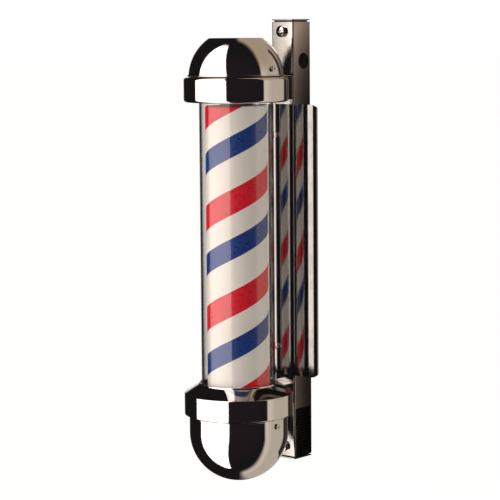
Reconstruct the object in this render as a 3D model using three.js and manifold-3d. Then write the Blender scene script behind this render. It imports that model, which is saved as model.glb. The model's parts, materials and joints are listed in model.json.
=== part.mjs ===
// Wall-mounted barber pole light: a striped drum turns inside a glass cylinder, around a lamp.
// Millimetres, +Z up, +X to the right, the wall is the plane Y = 0 and the front faces -Y.

import * as THREE from 'three';
import { mergeVertices } from 'three/addons/utils/BufferGeometryUtils.js';
import Module from 'manifold-3d';

const wasm = await Module();
wasm.setup();

// ---- driving dimensions -------------------------------------------------------------------

const GAP = 0.3;                 // between two pieces that touch
const ROUND = 36;                // sides of a large turned piece
const FASTENER_ROUND = 10;       // sides of a small one

const bracket = { width: 38.1, depth: 38.1, height: 621, wall: 1.5, bend: 2.5, capThickness: 3.5,
  capPlate: 1.9 };
const rail = { thickness: 2, lipLength: 26, lipGap: 0.4, fixingHoleRadius: 3.25,
  fixingHoles: [-240, -60, 60, 240] };
const terminalBlock = { width: 22, front: -16, bottom: 150, top: 186 };
const poleOffset = 100 + bracket.depth;      // from the wall to the pole's axis
const arm = { bottom: 199.5, top: 229.3, upperTop: 232.7, wireBoreRadius: 6, boltSpacing: 25 };
arm.middle = (arm.bottom + arm.top) / 2;

const glass = { radius: 50.8, wall: 3, bottom: -196.5, top: 211.5 };
const shell = { wall: 1.5, seamHeight: 1.1, beadHeight: 1.6, beadReach: 1.6 };
const ring = { wall: 2 };
const top = { ringRadius: 71.4, ringBottom: 199.1, ringTop: 233, fillet: 4, domeRadius: 64.7,
  domeCentre: 231.9, flatRadius: 36.6, spigotRadius: 60.6, spigotTop: 247, screwHeight: 244.2,
  socketTop: 216 };
const base = { ringRadius: 74.6, ringBottom: -229, bandTop: -199.8, bandFillet: 1.5, collarRadius: 54.4,
  collarTop: -185.2, coneTop: -187.2, ledgeTop: -200.3, domeRadius: 68, skirtBottom: -254.5,
  spigotBottom: -256, screwHeight: -240.5, ledgeInner: 47.5 };
const socket = { inner: glass.radius + 1.6, wall: 4 };
const gasket = { outer: socket.inner - GAP, inner: 46.4, bottomThickness: 3, upperLip: 205, lowerLip: -190 };

const drum = { radius: 42.4, wall: 1.5, bottom: -196, top: 194.4, cornerRadius: 3.5, capSkirt: 5.4 };
const drumCap = { spigotBottom: 180, spigotInner: 37.5, collarRadius: 25, collarBottom: 184, panel: 6 };
const drumFloor = { thickness: 3, spigotHeight: 6, spigotWall: 2.5 };
const hub = { radius: 12, bore: 7.3, bottom: -212, top: -188 };
const post = { radius: 4, flangeRadius: 12, flangeThickness: 3, shoulderRadius: 6.5, shoulderTop: -214,
  washerRadius: 9, top: -179 };
const gears = { module: 1, drumTeeth: 60, pinionTeeth: 15, pressureAngle: 20, backlash: 0.4,
  bottom: -211.8, thickness: 6 };
const gearCentres = gears.module * (gears.drumTeeth + gears.pinionTeeth) / 2;

const chassis = { radius: 72.3, bottom: -226.7, thickness: 2, screwCircle: 69, cableHoleY: 43,
  cableHoleRadius: 5 };
chassis.top = chassis.bottom + chassis.thickness;
const motor = { gearboxRadius: 25, gearboxHeight: 12, canRadius: 24, canHeight: 18.5, shaftRadius: 3,
  shaftDepth: 6.5, bossHole: 5, screwSpacing: 34 };
motor.top = chassis.bottom - GAP;

const lamp = { bulbRadius: 16, bulbWall: 1, bulbBottom: -112, bulbTop: 176, capRadius: 13, capBottom: 188,
  holderRadius: 16.5, holderBottom: 186, flangeRadius: 24, flangeThickness: 2 };
const bridge = { length: 116, width: 36, thickness: 1.5, bottom: top.socketTop + GAP };
bridge.top = bridge.bottom + bridge.thickness;
const guide = { inner: 19.5, outer: 21.5, bottom: 183 };

const reflector = { bottom: -188.7, top: 192.8, corner: 7, thickness: 1, flutes: 4, flutePitch: 24.2,
  fluteDepth: 3.45, bandEnd: 55, bandAngle: 22, edgeRadius: 6.5, screwHeight: 150, screwX: -12.1 };
const coverScrew = { height: 293.5, headRadius: 8, headThickness: 6, radius: 2 };
const domeScrew = { headRadius: 4.2, headThickness: 2.8, radius: 1.6, length: 6, hole: 1.9 };
const armBolt = { headRadius: 4.4, headThickness: 3.4, radius: 2.4, hole: 2.8, nutBore: 2.7, nutRadius: 4.6,
  nutThickness: 4 };
const reflectorScrew = { headRadius: 4, headThickness: 2.2, radius: 1.8, length: 6.5, hole: 2.1 };
const smallScrew = { headRadius: 2.6, headThickness: 1.9, radius: 1.5, hole: 1.8 };
const postNut = { radius: 7.5, thickness: 4 };
const cableHole = { radius: 11.1, y: -14.9, z: 252.5 };
const cableRadius = 2.5;
const label = { width: 34, height: 69, thickness: 0.3, bottom: -307 };

// ---- materials ----------------------------------------------------------------------------

const material = (color, roughness, metalness, extra = {}) =>
  new THREE.MeshStandardMaterial({ color, roughness, metalness, ...extra });

const chrome = material(0xd8dade, 0.08, 1);
const steel = material(0xa9abad, 0.4, 1);
const zincCast = material(0x8f9193, 0.5, 0.9);
const brass = material(0xb6924a, 0.35, 1);
const blackRubber = material(0x1b1b1c, 0.85, 0);
const whitePlastic = material(0xf2eee6, 0.45, 0);
const nylon = material(0xe8e2d0, 0.55, 0);
const blackPlastic = material(0x202124, 0.6, 0);
const darkLabel = material(0x25272c, 0.5, 0);
const porcelain = material(0xf0ede4, 0.3, 0);
const frostedGlass = material(0xfff6e4, 0.6, 0);
const clearGlass = material(0xeaf2f2, 0.04, 0, { transparent: true, opacity: 0.25 });

// ---- shape helpers ------------------------------------------------------------------------

const point = (x, y) => new THREE.Vector2(x, y);

// Points of an arc, from startAngle to endAngle in degrees.
function arc(centreX, centreY, radius, startAngle, endAngle, steps) {
  return Array.from({ length: steps + 1 }, (_, i) => {
    const angle = THREE.MathUtils.degToRad(startAngle + (endAngle - startAngle) * i / steps);
    return point(centreX + radius * Math.cos(angle), centreY + radius * Math.sin(angle));
  });
}

// Turns a profile of (radius, height) points about Z. The outer wall's points run upwards.
function turned(profile, sides = ROUND) {
  return new THREE.LatheGeometry(profile, sides).rotateX(Math.PI / 2);
}

function tubeBetween(inner, outer, bottom, height, sides = ROUND) {
  const topEdge = bottom + height;
  return turned([point(inner, bottom), point(outer, bottom), point(outer, topEdge), point(inner, topEdge),
    point(inner, bottom)], sides);
}

function disc(radius, bottom, height, sides = ROUND) {
  return new THREE.CylinderGeometry(radius, radius, height, sides)
    .rotateX(Math.PI / 2)
    .translate(0, 0, bottom + height / 2);
}

function box(x0, x1, y0, y1, z0, z1) {
  return new THREE.BoxGeometry(x1 - x0, y1 - y0, z1 - z0)
    .translate((x0 + x1) / 2, (y0 + y1) / 2, (z0 + z1) / 2);
}

// Extrudes an outline along Z, from bottom upwards.
function prism(outline, bottom, height) {
  const shape = outline instanceof THREE.Shape ? outline : new THREE.Shape(outline);
  return new THREE.ExtrudeGeometry(shape, { depth: height, bevelEnabled: false, curveSegments: 6 })
    .translate(0, 0, bottom);
}

// A round bar along X or Y between two places on that axis.
function barAlongY(radius, x, z, y0, y1, sides = FASTENER_ROUND) {
  return new THREE.CylinderGeometry(radius, radius, Math.abs(y1 - y0), sides)
    .translate(x, (y0 + y1) / 2, z);
}

function barAlongX(radius, y, z, x0, x1, sides = FASTENER_ROUND) {
  return new THREE.CylinderGeometry(radius, radius, Math.abs(x1 - x0), sides)
    .rotateZ(Math.PI / 2)
    .translate((x0 + x1) / 2, y, z);
}

function toManifold(geometry) {
  const bare = geometry.clone();
  bare.deleteAttribute('normal');
  bare.deleteAttribute('uv');
  const merged = mergeVertices(bare, 1e-4);
  const corners = merged.index.array;
  const kept = [];
  for (let i = 0; i < corners.length; i += 3) {
    const [a, b, c] = [corners[i], corners[i + 1], corners[i + 2]];
    if (a !== b && b !== c && c !== a) kept.push(a, b, c);
  }
  return new wasm.Manifold(new wasm.Mesh({
    numProp: 3,
    vertProperties: new Float32Array(merged.attributes.position.array),
    triVerts: new Uint32Array(kept),
  }));
}

function toGeometry(manifold) {
  const mesh = manifold.getMesh();
  const indexed = new THREE.BufferGeometry();
  indexed.setAttribute('position', new THREE.BufferAttribute(mesh.vertProperties, 3));
  indexed.setIndex(new THREE.BufferAttribute(mesh.triVerts, 1));
  const geometry = indexed.toNonIndexed();
  geometry.computeVertexNormals();
  return geometry;
}

const cut = (geometry, ...tools) =>
  toGeometry(tools.reduce((body, tool) => body.subtract(toManifold(tool)), toManifold(geometry)));
const join = (geometry, ...others) =>
  toGeometry(others.reduce((body, other) => body.add(toManifold(other)), toManifold(geometry)));
const common = (geometry, other) => toGeometry(toManifold(geometry).intersect(toManifold(other)));

// ---- assembly helpers ---------------------------------------------------------------------

const light = new THREE.Group();
const pole = new THREE.Group();
pole.position.y = -poleOffset;
light.add(pole);

function add(parent, name, geometry, meshMaterial) {
  const mesh = new THREE.Mesh(geometry, meshMaterial);
  mesh.name = name;
  parent.add(mesh);
  return mesh;
}

// A pan-head screw or bolt that points along +Y, its head's seat at the origin.
function screwGeometry(radius, length, headRadius, headThickness) {
  const headCorner = headThickness * 0.4;
  return turned([
    point(0, -length), point(radius, -length), point(radius, 0), point(headRadius, 0),
    point(headRadius, headThickness - headCorner), point(headRadius - headCorner, headThickness),
    point(0, headThickness),
  ], FASTENER_ROUND).rotateX(Math.PI / 2);
}

function hexNut(bore, acrossCorners, bottom, height) {
  const outline = new THREE.Shape(arc(0, 0, acrossCorners, 0, 300, 5));
  outline.holes.push(new THREE.Path(arc(0, 0, bore, 0, 360 - 360 / FASTENER_ROUND, FASTENER_ROUND - 1)));
  return prism(outline, bottom, height);
}

const SIDES = [['left', -1], ['right', 1]];

// ---- wall bracket -------------------------------------------------------------------------

// U-shaped channel outline in plan, open towards the wall, with rounded front corners.
function coverOutline() {
  const half = bracket.width / 2;
  const front = -bracket.depth;
  const { wall, bend } = bracket;
  const innerBend = bend - wall;
  return [
    point(-half + wall, 0), point(-half, 0),
    ...arc(-half + bend, front + bend, bend, 180, 270, 4),
    ...arc(half - bend, front + bend, bend, 270, 360, 4),
    point(half, 0), point(half - wall, 0),
    ...arc(half - bend, front + bend, innerBend, 360, 270, 3),
    ...arc(-half + bend, front + bend, innerBend, 270, 180, 3),
  ];
}

function buildBracket() {
  const half = bracket.width / 2;
  const front = -bracket.depth;
  const coverTop = bracket.height / 2 - bracket.capThickness - GAP;
  const frontHole = (radius, x, z, sides) =>
    barAlongY(radius, x, z, front - 1, front + bracket.wall + 1, sides);
  const armHoles = [-arm.middle, arm.middle].flatMap((z) => [
    frontHole(arm.wireBoreRadius, 0, z, 24),
    ...SIDES.map(([, side]) => frontHole(armBolt.hole, side * arm.boltSpacing / 2, z)),
  ]);
  const screwHoles = [-1, 1].flatMap((end) => [
    frontHole(coverScrew.radius + GAP, 0, end * coverScrew.height),
    frontHole(reflectorScrew.hole, reflector.screwX, end * reflector.screwHeight),
  ]);
  const cableEntry = barAlongX(cableHole.radius, cableHole.y, cableHole.z, half - bracket.wall - 1,
    half + 1, 32);
  add(light, 'bracket_cover', cut(prism(coverOutline(), -coverTop, 2 * coverTop),
    ...armHoles, ...screwHoles, cableEntry), chrome);

  // End lids, each with a plug that enters the channel.
  const plugDepth = 2;
  const plugHalf = half - bracket.wall - 1;
  for (const [name, end] of [['bracket_top_cap', 1], ['bracket_bottom_cap', -1]]) {
    const plateInner = bracket.height / 2 - bracket.capPlate;
    const plate = prism([
      point(-half, 0),
      ...arc(-half + bracket.bend, front + bracket.bend, bracket.bend, 180, 270, 4),
      ...arc(half - bracket.bend, front + bracket.bend, bracket.bend, 270, 360, 4),
      point(half, 0),
    ], plateInner, bracket.capPlate);
    const plug = box(-plugHalf, plugHalf, front + bracket.wall + 1, -3, coverTop - plugDepth, plateInner + 1);
    const lid = join(plate, plug);
    if (end < 0) lid.rotateY(Math.PI);
    add(light, name, lid, chrome);
  }
}

// Strip on the wall whose ends bend forwards into lips that the cover's screws bite into.
function buildRail() {
  const end = bracket.height / 2 - bracket.capThickness - 3;
  const lipFront = -(bracket.depth - bracket.wall - rail.lipGap);
  const { thickness, lipLength } = rail;
  const outline = [
    point(0, -end), point(0, end), point(lipFront, end), point(lipFront, end - lipLength),
    point(lipFront + thickness, end - lipLength), point(lipFront + thickness, end - thickness),
    point(-thickness, end - thickness), point(-thickness, -end + thickness),
    point(lipFront + thickness, -end + thickness), point(lipFront + thickness, -end + lipLength),
    point(lipFront, -end + lipLength), point(lipFront, -end),
  ];
  const halfWidth = bracket.width / 2 - bracket.wall - rail.lipGap;
  const alongX = new THREE.Matrix4().makeBasis(
    new THREE.Vector3(0, 1, 0), new THREE.Vector3(0, 0, 1), new THREE.Vector3(1, 0, 0));
  const strip = prism(outline, -halfWidth, 2 * halfWidth).applyMatrix4(alongX);
  const fixings = rail.fixingHoles.map((z) => barAlongY(rail.fixingHoleRadius, 0, z, -thickness - 1, 1));
  const tappings = [-1, 1].map((side) =>
    barAlongY(coverScrew.radius + GAP, 0, side * coverScrew.height, lipFront - 1, lipFront + thickness + 1));
  add(light, 'wall_rail', cut(strip, ...fixings, ...tappings), steel);
}

function buildBracketFittings() {
  const front = -bracket.depth;
  for (const [name, end] of [['cover_screw_top', 1], ['cover_screw_bottom', -1]]) {
    const screw = screwGeometry(coverScrew.radius, 7, coverScrew.headRadius, coverScrew.headThickness);
    add(light, name, screw, chrome).position.set(0, front - GAP, end * coverScrew.height);
  }
  const labelX = bracket.width / 2 + 0.1;
  add(light, 'rating_label', box(labelX, labelX + label.thickness, -2 - label.width, -2,
    label.bottom, label.bottom + label.height), darkLabel);
  add(light, 'terminal_block', box(-terminalBlock.width / 2, terminalBlock.width / 2, terminalBlock.front,
    -rail.thickness - GAP, terminalBlock.bottom, terminalBlock.top), blackPlastic);
}

// ---- reflector ----------------------------------------------------------------------------

// Concave flutes side by side, then at each side a flat band that slopes back and ends in a rolled edge.
function buildReflector() {
  const { flutePitch, fluteDepth, thickness, edgeRadius, bandEnd, bandAngle } = reflector;
  const deepest = -bracket.depth - GAP - thickness;
  const fluteRadius = (flutePitch ** 2 / 4 + fluteDepth ** 2) / (2 * fluteDepth);
  const halfAngle = THREE.MathUtils.radToDeg(Math.asin(flutePitch / 2 / fluteRadius));
  const flute = (k) =>
    arc(k * flutePitch, deepest - fluteRadius, fluteRadius, 90 + halfAngle, 90 - halfAngle, 8);
  const lastFlute = (reflector.flutes - 1) / 2;
  const flutes = flute(-lastFlute);
  for (let k = 1 - lastFlute; k <= lastFlute; k += 1) flutes.push(...flute(k).slice(1));

  const slope = THREE.MathUtils.degToRad(bandAngle);
  const bandEndY = deepest - fluteDepth + (bandEnd - (lastFlute + 0.5) * flutePitch) * Math.tan(slope);
  const edgeX = bandEnd - edgeRadius * Math.sin(slope);
  const edgeY = bandEndY + edgeRadius * Math.cos(slope);
  const halfWidth = edgeX + edgeRadius;
  const edge = (radius) => arc(edgeX, edgeY, radius, bandAngle - 90, 0, 5);
  const mirrored = (points) => points.map((p) => point(-p.x, p.y)).reverse();
  const face = [...mirrored(edge(edgeRadius)), ...flutes, ...edge(edgeRadius)];
  const innerEdge = edge(edgeRadius - thickness);
  const back = [...mirrored(innerEdge), ...flutes.map((p) => point(p.x, p.y + thickness)), ...innerEdge];
  const height = reflector.top - reflector.bottom;
  const sheet = prism([...face, ...back.reverse()], reflector.bottom, height);

  const { corner } = reflector;
  const halfHeight = height / 2;
  const window = prism([
    ...arc(halfWidth - corner, halfHeight - corner, corner, 0, 90, 5),
    ...arc(-halfWidth + corner, halfHeight - corner, corner, 90, 180, 5),
    ...arc(-halfWidth + corner, -halfHeight + corner, corner, 180, 270, 5),
    ...arc(halfWidth - corner, -halfHeight + corner, corner, 270, 360, 5),
  ], 0, 2 * bracket.depth).rotateX(Math.PI / 2).translate(0, 0, reflector.bottom + halfHeight);
  const holes = [-1, 1].map((side) =>
    barAlongY(reflectorScrew.hole, reflector.screwX, side * reflector.screwHeight, deepest - 1,
      deepest + thickness + 1));
  add(light, 'reflector', cut(common(sheet, window), ...holes), chrome);

  const seat = deepest - 2 * GAP;
  for (const [name, end] of [['reflector_screw_upper', 1], ['reflector_screw_lower', -1]]) {
    const screw = screwGeometry(reflectorScrew.radius, reflectorScrew.length, reflectorScrew.headRadius,
      reflectorScrew.headThickness);
    add(light, name, screw, steel).position.set(reflector.screwX, seat, end * reflector.screwHeight);
  }
}

// ---- arms ---------------------------------------------------------------------------------

// A cast arm from the bracket's front face to a ring, hollowed round the ring's wall.
function buildArm(name, end, ringRadius) {
  const half = bracket.width / 2;
  const back = -bracket.depth - GAP;
  const hollowRadius = ringRadius + GAP;
  const reach = THREE.MathUtils.radToDeg(Math.asin(half / hollowRadius));
  const outline = [
    point(half, back), point(-half, back),
    ...arc(0, -poleOffset, hollowRadius, 90 + reach, 90 - reach, 8),
  ];
  const [bottom, height] = end > 0
    ? [arm.bottom, arm.upperTop - arm.bottom] : [-arm.top, arm.top - arm.bottom];
  const z = end * arm.middle;
  const throughY = (radius, x, sides) => barAlongY(radius, x, z, -poleOffset, back + 1, sides);
  add(light, `${name}_arm`, cut(prism(outline, bottom, height), throughY(arm.wireBoreRadius, 0, 24),
    ...SIDES.map(([, side]) => throughY(armBolt.hole, side * arm.boltSpacing / 2))), chrome);

  // Through-bolts: heads inside the ring, nuts inside the bracket.
  const headSeat = ringRadius - ring.wall - 2.4 - poleOffset;
  const nutFront = -(bracket.depth - bracket.wall - GAP);
  const boltLength = nutFront + armBolt.nutThickness + 2 - headSeat;
  for (const [sideName, side] of SIDES) {
    const x = side * arm.boltSpacing / 2;
    const bolt = screwGeometry(armBolt.radius, boltLength, armBolt.headRadius, armBolt.headThickness);
    const nut = hexNut(armBolt.nutBore, armBolt.nutRadius, -armBolt.nutThickness, armBolt.nutThickness);
    add(light, `${name}_arm_bolt_${sideName}`, bolt, steel).position.set(x, headSeat, z);
    add(light, `${name}_arm_nut_${sideName}`, nut.rotateX(Math.PI / 2), steel).position.set(x, nutFront, z);
  }
}

// ---- top: ring, dome, lamp ----------------------------------------------------------------

const throughBand = (radius, x, z, ringRadius, sides) =>
  barAlongY(radius, x, z, ringRadius - ring.wall - 4, ringRadius + 1, sides);
const ringHoles = (ringRadius, z) => [
  throughBand(arm.wireBoreRadius, 0, z, ringRadius, 24),
  ...SIDES.map(([, side]) => throughBand(armBolt.hole, side * arm.boltSpacing / 2, z, ringRadius)),
];
const sideHoles = (radius, z, domeRadius) =>
  SIDES.map(([, side]) => barAlongX(radius, 0, z, side * (domeRadius - 8), side * (domeRadius + 4)));

function buildTopRing() {
  const { ringRadius: outer, ringBottom, ringTop, fillet, spigotTop, socketTop } = top;
  const inner = outer - ring.wall;
  const spigotOuter = top.spigotRadius;
  const spigotInner = spigotOuter - ring.wall;
  const floor = ringBottom + ring.wall;
  const collar = glass.radius + 0.7;
  const socketOuter = socket.inner + socket.wall;
  const profile = [
    point(collar, ringBottom),
    ...arc(outer - fillet, ringBottom + fillet, fillet, -90, 0, 3),
    ...arc(outer - fillet, ringTop - fillet, fillet, 0, 90, 3),
    point(spigotOuter, ringTop), point(spigotOuter, spigotTop), point(spigotInner, spigotTop),
    point(spigotInner, ringTop - ring.wall), point(inner, ringTop - ring.wall), point(inner, floor),
    point(socketOuter, floor), point(socketOuter, socketTop), point(socket.inner, socketTop),
    point(socket.inner, floor), point(collar, floor), point(collar, ringBottom),
  ];
  const bridgeHoles = SIDES.map(([, side]) =>
    disc(smallScrew.hole, socketTop - 10, 12, FASTENER_ROUND)
      .translate(side * (socket.inner + socket.wall / 2), 0, 0));
  add(pole, 'top_ring', cut(turned(profile), ...ringHoles(outer, arm.middle),
    ...sideHoles(domeScrew.hole, top.screwHeight, top.domeRadius), ...bridgeHoles), chrome);
}

function domeScrews(name, seat, z) {
  for (const [sideName, side] of SIDES) {
    const screw = screwGeometry(domeScrew.radius, domeScrew.length, domeScrew.headRadius,
      domeScrew.headThickness).rotateZ(side * Math.PI / 2);
    add(pole, `${name}_screw_${sideName}`, screw, chrome).position.set(side * seat, 0, z);
  }
}

// Hemisphere with a flat top, open below, with a small bead round its foot.
function buildTopDome() {
  const { domeRadius, flatRadius, ringTop } = top;
  const foot = ringTop + GAP;
  const beadBottom = foot + shell.seamHeight;
  const beadTop = beadBottom + shell.beadHeight;
  const centre = top.domeCentre;
  const innerRadius = domeRadius - shell.wall;
  const footRadius = Math.sqrt(domeRadius ** 2 - (foot - centre) ** 2);
  const rise = (z, radius) => THREE.MathUtils.radToDeg(Math.asin((z - centre) / radius));
  const flatAngle = THREE.MathUtils.radToDeg(Math.acos(flatRadius / domeRadius));
  const flatHeight = centre + Math.sqrt(domeRadius ** 2 - flatRadius ** 2);
  const ceiling = flatHeight - shell.wall;
  const innerAngle = THREE.MathUtils.radToDeg(Math.asin((ceiling - centre) / innerRadius));
  const profile = [
    point(0, ceiling), ...arc(0, centre, innerRadius, innerAngle, rise(foot, innerRadius), 5),
    point(footRadius, foot), point(footRadius, beadBottom),
    point(domeRadius + shell.beadReach, beadBottom), point(domeRadius + shell.beadReach, beadTop),
    ...arc(0, centre, domeRadius, rise(beadTop, domeRadius), flatAngle, 7), point(0, flatHeight),
  ];
  const screwHoles = sideHoles(domeScrew.hole, top.screwHeight, domeRadius);
  add(pole, 'top_dome', cut(turned(profile), ...screwHoles), chrome);
  const headBottom = top.screwHeight - domeScrew.headRadius;
  const widestUnderHead = Math.sqrt(domeRadius ** 2 - (headBottom - centre) ** 2);
  domeScrews('top_dome', widestUnderHead + GAP, top.screwHeight);
}

// U-shaped rubber channel round one end of the glass, its mouth pointing along direction.
function gasketGeometry(glassEnd, direction, outerLip, innerLip) {
  const floor = glassEnd - direction * GAP;
  const backFace = floor - direction * gasket.bottomThickness;
  const [outerWall, innerWall] = [glass.radius + GAP, glass.radius - glass.wall - GAP];
  const profile = [
    point(gasket.inner, backFace), point(gasket.outer, backFace), point(gasket.outer, outerLip),
    point(outerWall, outerLip), point(outerWall, floor), point(innerWall, floor),
    point(innerWall, innerLip), point(gasket.inner, innerLip), point(gasket.inner, backFace),
  ];
  return turned(direction > 0 ? profile : profile.reverse());
}

function buildGlass() {
  add(pole, 'glass_cylinder', tubeBetween(glass.radius - glass.wall, glass.radius, glass.bottom,
    glass.top - glass.bottom), clearGlass);
  const upperOuterLip = top.ringBottom + ring.wall + GAP;
  const lowerOuterLip = base.collarTop - 0.8;
  add(pole, 'upper_gasket', gasketGeometry(glass.top, -1, upperOuterLip, gasket.upperLip), blackRubber);
  add(pole, 'lower_gasket', gasketGeometry(glass.bottom, 1, lowerOuterLip, gasket.lowerLip), blackRubber);
}

function buildLamp() {
  const screwX = socket.inner + socket.wall / 2;
  const strap = cut(
    box(-bridge.length / 2, bridge.length / 2, -bridge.width / 2, bridge.width / 2, bridge.bottom,
      bridge.top),
    disc(lamp.holderRadius + 0.5, bridge.bottom - 1, bridge.thickness + 2, 32),
    ...SIDES.map(([, side]) =>
      disc(smallScrew.hole, bridge.bottom - 1, bridge.thickness + 2, FASTENER_ROUND)
        .translate(side * screwX, 0, 0)));
  add(pole, 'lamp_bridge', strap, steel);
  for (const [sideName, side] of SIDES) {
    const screw = screwGeometry(smallScrew.radius, 9, smallScrew.headRadius, smallScrew.headThickness);
    add(pole, `bridge_screw_${sideName}`, screw.rotateX(-Math.PI / 2), steel)
      .position.set(side * screwX, 0, bridge.top + GAP);
  }

  const flangeBottom = bridge.top + GAP;
  const flangeTop = flangeBottom + lamp.flangeThickness;
  const holder = { bore: lamp.capRadius + 0.6, boreTop: 214, stemRadius: 15, top: 228 };
  add(pole, 'lamp_holder', turned([
    point(0, holder.boreTop), point(holder.bore, holder.boreTop), point(holder.bore, lamp.holderBottom),
    point(lamp.holderRadius, lamp.holderBottom), point(lamp.holderRadius, flangeBottom),
    point(lamp.flangeRadius, flangeBottom), point(lamp.flangeRadius, flangeTop),
    point(holder.stemRadius, flangeTop), point(holder.stemRadius, holder.top), point(0, holder.top),
  ], 24), porcelain);
  const contact = { radius: 6, bottom: 206, top: 211 };
  add(pole, 'lamp_cap', turned([
    point(0, lamp.capBottom), point(lamp.capRadius, lamp.capBottom), point(lamp.capRadius, contact.bottom),
    point(contact.radius, contact.top), point(0, contact.top),
  ], 24), brass);
  const bulbEnd = lamp.bulbBottom + lamp.bulbRadius;
  const bulbInner = lamp.bulbRadius - lamp.bulbWall;
  const neck = { outer: 12.4, bottom: lamp.holderBottom - 1, top: lamp.capBottom - GAP };
  neck.inner = neck.outer - lamp.bulbWall;
  add(pole, 'lamp_bulb', turned([
    ...arc(0, bulbEnd, lamp.bulbRadius, -90, 0, 5), point(lamp.bulbRadius, lamp.bulbTop),
    point(neck.outer, neck.bottom), point(neck.outer, neck.top), point(neck.inner, neck.top),
    point(neck.inner, neck.bottom), point(bulbInner, lamp.bulbTop),
    ...arc(0, bulbEnd, bulbInner, 0, -90, 4),
  ], 24), frostedGlass);
  const flange = { radius: 28, bottom: top.socketTop - 2 };
  add(pole, 'drum_guide', turned([
    point(guide.inner, guide.bottom), point(guide.outer, guide.bottom), point(guide.outer, flange.bottom),
    point(flange.radius, flange.bottom), point(flange.radius, top.socketTop),
    point(guide.inner, top.socketTop), point(guide.inner, guide.bottom),
  ]), nylon);
}

// ---- base: ring, dome, chassis, motor -----------------------------------------------------

function buildBaseRing() {
  const { ringRadius: outer, ringBottom, bandTop, bandFillet, collarRadius, collarTop } = base;
  const { coneTop, ledgeTop, ledgeInner } = base;
  const inner = outer - ring.wall;
  const spigotOuter = base.domeRadius - shell.wall - GAP;
  const spigotInner = spigotOuter - ring.wall;
  const coneSlope = (coneTop - bandTop) / (outer - collarRadius);
  const coneInside = (radius) => coneTop - (radius - collarRadius) * coneSlope - ring.wall * 1.15;
  const socketOuter = socket.inner + 2;
  const profile = [
    point(spigotInner, base.spigotBottom), point(spigotOuter, base.spigotBottom),
    point(spigotOuter, ringBottom),
    ...arc(outer - bandFillet, ringBottom + bandFillet, bandFillet, -90, 0, 2),
    ...arc(outer - bandFillet, bandTop - bandFillet / 2, bandFillet, 0, 60, 2),
    point(collarRadius, coneTop), point(collarRadius, collarTop - 1), point(collarRadius - 0.7, collarTop),
    point(socket.inner, collarTop), point(socket.inner, ledgeTop), point(ledgeInner, ledgeTop),
    point(ledgeInner, ledgeTop - ring.wall), point(socketOuter, ledgeTop - ring.wall),
    point(socketOuter, coneInside(socketOuter)), point(inner, coneInside(inner)),
    point(inner, ringBottom + ring.wall), point(spigotInner, ringBottom + ring.wall),
    point(spigotInner, base.spigotBottom),
  ];
  const tappings = chassisScrewPlaces().map(([x, y]) =>
    disc(smallScrew.hole, ringBottom - 1, ring.wall + 2, FASTENER_ROUND).translate(x, y, 0));
  add(pole, 'base_ring', cut(turned(profile), ...ringHoles(outer, -arm.middle),
    ...sideHoles(domeScrew.hole, base.screwHeight, base.domeRadius), ...tappings), chrome);
}

function buildBaseDome() {
  const { domeRadius, skirtBottom, ringBottom } = base;
  const rim = ringBottom - GAP;
  const beadTop = rim - shell.seamHeight;
  const beadBottom = beadTop - shell.beadHeight;
  const inner = domeRadius - shell.wall;
  const profile = [
    ...arc(0, skirtBottom, domeRadius, -90, 0, 9), point(domeRadius, beadBottom),
    point(domeRadius + shell.beadReach, beadBottom), point(domeRadius + shell.beadReach, beadTop),
    point(domeRadius, beadTop), point(domeRadius, rim), point(inner, rim),
    ...arc(0, skirtBottom, inner, 0, -90, 7),
  ];
  const screwHoles = sideHoles(domeScrew.hole, base.screwHeight, domeRadius);
  add(pole, 'base_dome', cut(turned(profile), ...screwHoles), chrome);
  domeScrews('base_dome', domeRadius + GAP, base.screwHeight);
}

function chassisScrewPlaces() {
  return [30, 150, 270].map((degrees) => {
    const angle = THREE.MathUtils.degToRad(degrees);
    return [chassis.screwCircle * Math.cos(angle), chassis.screwCircle * Math.sin(angle)];
  });
}

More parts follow.
